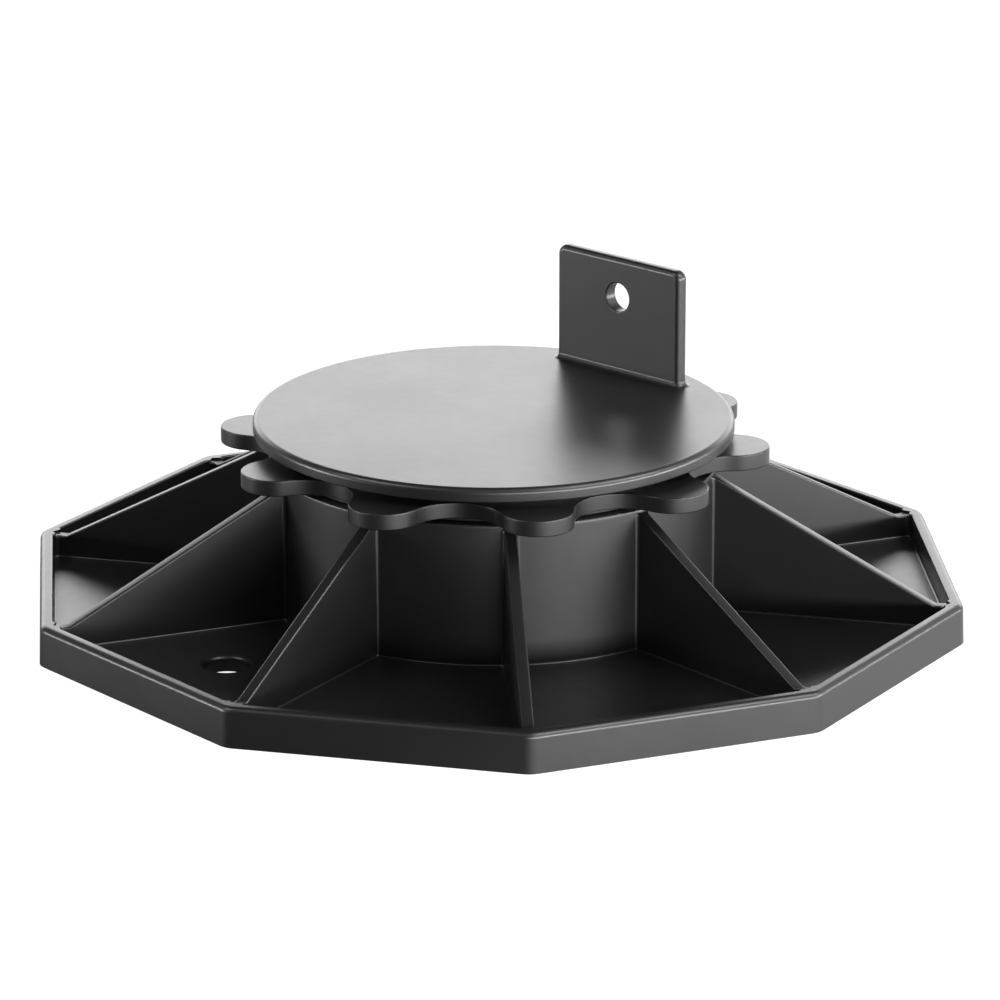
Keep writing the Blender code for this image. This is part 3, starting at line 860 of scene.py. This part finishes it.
def plate_profile():
    low = Vector((PLATE_RADIUS - PLATE_LOW_ROUND, PLATE_LOW + PLATE_LOW_ROUND))
    high = Vector((PLATE_RADIUS - PLATE_TOP_ROUND, PLATE_TOP - PLATE_TOP_ROUND))
    rows = arc(low, PLATE_LOW_ROUND, -math.pi / 2, 0, PLATE_LOW_STEPS)
    rows += arc(high, PLATE_TOP_ROUND, 0, math.pi / 2, PLATE_TOP_STEPS)
    return [(p.x, p.y) for p in rows]


def make_stem():
    stem = wind_thread("stem", STEM_LOW, PLATE_LOW, 0)
    bm = bmesh.new()
    bm.from_mesh(stem.data)
    rooted = PLATE_LOW + ROOTED
    wall = [(THREAD_ROOT, STEM_LOW), (STEM_BORE, STEM_LOW), (STEM_BORE, rooted), (THREAD_ROOT, rooted),
            (THREAD_ROOT, PLATE_LOW)]
    add_skin(bm, [lift(circle(radius, BORE_STEPS), z) for radius, z in wall], closed=True)
    merged(bm).to_mesh(stem.data)
    bm.free()
    return stem


def make_stiffeners():
    """A star: a twelfth of it has half a boss on each side of one arm."""
    half = STIFFENER_THICKNESS / 2
    seam = math.pi / STIFFENERS
    lean = math.asin(half / STIFFENER_BOSS)
    upper = arc(Vector((0, 0)), STIFFENER_BOSS, seam, lean, BOSS_STEPS)
    upper.append(Vector((STEM_BORE + STEM_WALL / 2, half)))
    outline = upper + [Vector((p.x, -p.y)) for p in reversed(upper)]
    bm = bmesh.new()
    low = PLATE_LOW - STIFFENER_DEPTH
    high = PLATE_LOW + ROOTED / 2
    add_skin(bm, [lift(outline, low), lift(outline, high)])
    for z in (low, high):
        add_face(bm, lift(outline, z) + [Vector((0, 0, z))])
    return repeat_slice("stiffeners", merged(bm), STIFFENERS, 0)


# %% The screw tab and its foot
CORNER_SEGMENTS = 10
EDGE_SEGMENTS = 5
TAB_FOOT_STEPS = 6
HAIR = 0.02 * MM


def make_tab():
    """The upright tab, its two top corners rounded in front view and then all its edges."""
    bm = bmesh.new()
    bmesh.ops.create_cube(bm, size=1)
    height = TAB_HEIGHT + ROOTED
    bmesh.ops.scale(bm, verts=bm.verts, vec=(TAB_WIDTH, TAB_THICKNESS, height))
    middle = Vector((0, TAB_REACH + TAB_THICKNESS / 2, PLATE_TOP - ROOTED + height / 2))
    bmesh.ops.translate(bm, verts=bm.verts, vec=middle)
    tab = as_object("tab", merged(bm))
    top = PLATE_TOP + TAB_HEIGHT

    def top_corner(edge):
        along = edge.verts[1].co - edge.verts[0].co
        return abs(along.x) < MERGE and all(abs(v.co.z - top) < MERGE for v in edge.verts)

    def front_or_back(edge):
        faces = [abs(face.normal.y) > FACING for face in edge.link_faces]
        return any(faces) and not all(faces) and max(v.co.z for v in edge.verts) > PLATE_TOP

    round_edges(tab, TAB_CORNER, top_corner, segments=CORNER_SEGMENTS)
    round_edges(tab, TAB_EDGE, front_or_back, segments=EDGE_SEGMENTS)
    return tab


def rounded_rectangle(width, depth, corner):
    points = []
    for k, (sx, sy) in enumerate(((1, 1), (-1, 1), (-1, -1), (1, -1))):
        centre = Vector((sx * (width / 2 - corner), sy * (depth / 2 - corner)))
        points += arc(centre, corner, math.pi / 2 * k, math.pi / 2 * (k + 1), EDGE_SEGMENTS)
    return points


def make_tab_foot():
    """The hollow fillet round the tab's foot, let into the plate and a hair into the tab."""
    bm = bmesh.new()
    rows = []
    for i in range(TAB_FOOT_STEPS + 1):
        turn = math.pi / 2 * i / TAB_FOOT_STEPS
        spread = TAB_FILLET * (1 - math.sin(turn)) - HAIR
        z = PLATE_TOP + TAB_FILLET * (1 - math.cos(turn))
        outline = rounded_rectangle(TAB_WIDTH + 2 * spread, TAB_THICKNESS + 2 * spread, TAB_EDGE + spread)
        rows.append([Vector((p.x, p.y + TAB_REACH + TAB_THICKNESS / 2, z)) for p in outline])
    rows.insert(0, [p - Vector((0, 0, ROOTED)) for p in rows[0]])
    made = add_skin(bm, rows, closed=True)
    bm.faces.new(made[0])
    bm.faces.new(made[-1])
    return as_object("tab_foot", merged(bm))


# %% Join the head and drill the tab
TAB_HOLE_ROUND = 0.3 * MM
ON_HOLE = 0.02 * MM
ON_FACE = 0.01 * MM


def make_head():
    head = as_object("head_plate_skin", turned(plate_profile(), PLATE_STEPS))
    for piece in (make_stem(), make_stiffeners(), make_tab(), make_tab_foot()):
        combine(head, piece, "UNION")
    drill = turned([(TAB_HOLE_RADIUS, -TAB_THICKNESS), (TAB_HOLE_RADIUS, 2 * TAB_THICKNESS)], DRILL_STEPS)
    bmesh.ops.rotate(drill, verts=drill.verts, cent=(0, 0, 0), matrix=Matrix.Rotation(-math.pi / 2, 3, "X"))
    bmesh.ops.translate(drill, verts=drill.verts, vec=(0, TAB_REACH, TAB_HOLE_LEVEL))
    combine(head, as_object("tab_drill", drill), "DIFFERENCE")

    def hole_rim(edge):
        faces = (TAB_REACH, TAB_REACH + TAB_THICKNESS)
        for v in edge.verts:
            reach = math.hypot(v.co.x, v.co.z - TAB_HOLE_LEVEL)
            if abs(reach - TAB_HOLE_RADIUS) > ON_HOLE or min(abs(v.co.y - y) for y in faces) > ON_FACE:
                return False
        return abs(edge.verts[0].co.y - edge.verts[1].co.y) < ON_FACE

    print("edges at the tab's hole:", round_edges(head, TAB_HOLE_ROUND, hole_rim))
    return head


finish_piece(make_head(), "head")

# %% [markdown]
# ## Studio
#
# Black plastic is lit by what it mirrors. The room and the floor are white to the camera. In reflections they
# are white behind the pedestal and to its right, dim on the left, and dark towards the camera and overhead, as
# among black flags. A wide soft box behind gives the plate its sheen. Low strips just above the floor put a
# sheen on the upright walls, which mirror the floor close by. Four thin strips higher up, and a white screen
# that only reflections show, draw the light lines along rounded edges. The floor keeps a faint shadow.


# %% Floor and room
WALL_LEVELS = (0.0, 1.0, 1.0, 0.35)
WALL_FADE = (0.55, 0.35)
CEILING_LEVEL = 0.08
SCREEN_AZIMUTH = 75
SCREEN_ELEVATION = 40
SCREEN_FADE = (0.67, 0.92)
ROOM_LIGHT = 0.1
FLOOR_LEVELS = (0.0, 1.0, 1.0, 0.3)
FLOOR_SIZE = 6
FLOOR_GLOW = 0.9
FLOOR_FADE = (0.3, 1.2)
FLOOR_COLOUR = (0.8, 0.8, 0.8, 1)
FAINT_SEEN = 0.3
FAINT_MIRRORED = 0.06
CAMERA_SIDE = math.atan2(CAMERA_PLACE.y, CAMERA_PLACE.x)
FLAG_SIDE = CAMERA_SIDE - math.radians(25)


def aim(azimuth, elevation):
    """The direction of a place in the studio, in degrees; azimuth counts to the right of the camera's side."""
    side = CAMERA_SIDE + math.radians(azimuth)
    rise = math.radians(elevation)
    return Vector((math.cos(side) * math.cos(rise), math.sin(side) * math.cos(rise), math.sin(rise)))


def towards(wire, place, side):
    """How squarely a direction points to a side: 1 straight at it, 0 at right angles to it."""
    return wire.node("ShaderNodeVectorMath", {"operation": "DOT_PRODUCT"}, {0: place, 1: tuple(side)}, "Value")


def fade(wire, value, edge, low=0, high=1):
    """From low to high, smoothly, while the value goes from the edge's first number to its second."""
    return wire.node("ShaderNodeMapRange", {"interpolation_type": "SMOOTHSTEP"},
                     {"Value": value, "From Min": edge[0], "From Max": edge[1], "To Min": low, "To Max": high})


def round_the_horizon(wire, place, levels):
    """A level for the flag's side, the right, the back and the left, blended in between."""
    flat = wire.node("ShaderNodeVectorMath", {"operation": "MULTIPLY"}, {0: place, 1: (1, 1, 0)})
    unit = wire.node("ShaderNodeVectorMath", {"operation": "NORMALIZE"}, {0: flat})
    total = 0
    for quarter, level in enumerate(levels):
        side = polar(1, FLAG_SIDE + quarter * math.pi / 2).to_3d()
        near = wire.math("MAXIMUM", towards(wire, unit, side), 0)
        total = total + near * near * level
    return total


def make_floor():
    bm = bmesh.new()
    bmesh.ops.create_grid(bm, x_segments=1, y_segments=1, size=FLOOR_SIZE)
    floor = as_object("studio_floor", bm)
    material = bpy.data.materials.new("studio_floor")
    material.use_nodes = True
    material.node_tree.nodes.clear()
    wire = Wire(material.node_tree)
    place = wire.node("ShaderNodeTexCoord", output="Object")
    seen = wire.node("ShaderNodeLightPath", output="Is Camera Ray")
    mirrored = wire.node("ShaderNodeLightPath", output="Is Glossy Ray")
    far = wire.node("ShaderNodeVectorMath", {"operation": "LENGTH"}, {0: place}, "Value")
    seen_glow = fade(wire, far, FLOOR_FADE, FLOOR_GLOW, 1)
    level = seen_glow * seen + round_the_horizon(wire, place, FLOOR_LEVELS) * mirrored
    plain = wire.node("ShaderNodeBsdfDiffuse", None, {"Color": FLOOR_COLOUR})
    faint = wire.node("ShaderNodeBsdfDiffuse", None, {"Color": FAINT_SEEN * seen + FAINT_MIRRORED * mirrored})
    glow = wire.node("ShaderNodeEmission", None, {"Color": (1, 1, 1, 1), "Strength": level})
    white = wire.node("ShaderNodeAddShader", None, {0: faint, 1: glow})
    shown = (seen + mirrored).between(0, 1)
    mix = wire.node("ShaderNodeMixShader", None, {0: shown, 1: plain, 2: white})
    wire.node("ShaderNodeOutputMaterial", None, {"Surface": mix})
    floor.data.materials.append(material)


def make_room():
    world = bpy.data.worlds.new("studio_room")
    bpy.context.scene.world = world
    world.use_nodes = True
    world.node_tree.nodes.clear()
    wire = Wire(world.node_tree)
    place = wire.node("ShaderNodeTexCoord", output="Generated")
    seen = wire.node("ShaderNodeLightPath", output="Is Camera Ray")
    mirrored = wire.node("ShaderNodeLightPath", output="Is Glossy Ray")
    through = wire.node("ShaderNodeLightPath", output="Is Transmission Ray")
    white = (seen + through).between(0, 1)
    lit = 1 - (white + mirrored).between(0, 1)
    up = wire.node("ShaderNodeSeparateXYZ", None, {"Vector": place}, "Z")
    wall = fade(wire, up, WALL_FADE)
    around = round_the_horizon(wire, place, WALL_LEVELS) * wall + CEILING_LEVEL * (1 - wall)
    screen = fade(wire, towards(wire, place, aim(SCREEN_AZIMUTH, SCREEN_ELEVATION)), SCREEN_FADE)
    strength = white + wire.math("MAXIMUM", around, screen) * mirrored + ROOM_LIGHT * lit
    back = wire.node("ShaderNodeBackground", None, {"Color": (1, 1, 1, 1), "Strength": strength})
    wire.node("ShaderNodeOutputWorld", None, {"Surface": back})


make_floor()
make_room()


# %% Soft boxes
STRIP_DISTANCE = 1.4
LOW_ELEVATION = 2.6
LOW_WIDTH = 0.56
LOW_HEIGHT = 0.12
# Each low strip's azimuth in degrees, and its radiance.
LOW_STRIPS = {14: 25, 36: 44, 58: 41, 80: 36, 101: 23, -87: 40}


def soft_box(name, azimuth, elevation, distance, width, height, radiance):
    """A rectangular lamp aimed at the pedestal; its face looks as bright as its radiance, whatever its size."""
    out = aim(azimuth, elevation)
    data = bpy.data.lights.new(name, "AREA")
    data.shape = "RECTANGLE"
    data.size = width
    data.size_y = height
    data.energy = radiance * math.pi * width * height
    box = bpy.data.objects.new(name, data)
    box.location = out * distance
    box.rotation_euler = (-out).to_track_quat("-Z", "Y").to_euler()
    box.visible_camera = False
    bpy.context.collection.objects.link(box)


soft_box("back_box", azimuth=180, elevation=15, distance=1.6, width=2.6, height=0.7, radiance=3.4)
for azimuth, radiance in LOW_STRIPS.items():
    soft_box(f"low_strip_{azimuth}", azimuth, LOW_ELEVATION, STRIP_DISTANCE, LOW_WIDTH, LOW_HEIGHT, radiance)
soft_box("high_right", azimuth=60, elevation=50, distance=STRIP_DISTANCE, width=0.9, height=0.16, radiance=18)
soft_box("high_side", azimuth=84, elevation=38, distance=STRIP_DISTANCE, width=0.4, height=0.16, radiance=16)
soft_box("high_front", azimuth=-5, elevation=50, distance=STRIP_DISTANCE, width=0.7, height=0.14, radiance=2)
soft_box("high_left", azimuth=-68, elevation=45, distance=STRIP_DISTANCE, width=0.6, height=0.16, radiance=15)

scene = bpy.context.scene
scene.view_settings.view_transform = "Standard"

# %% Box of the model
print("model", cad_box)
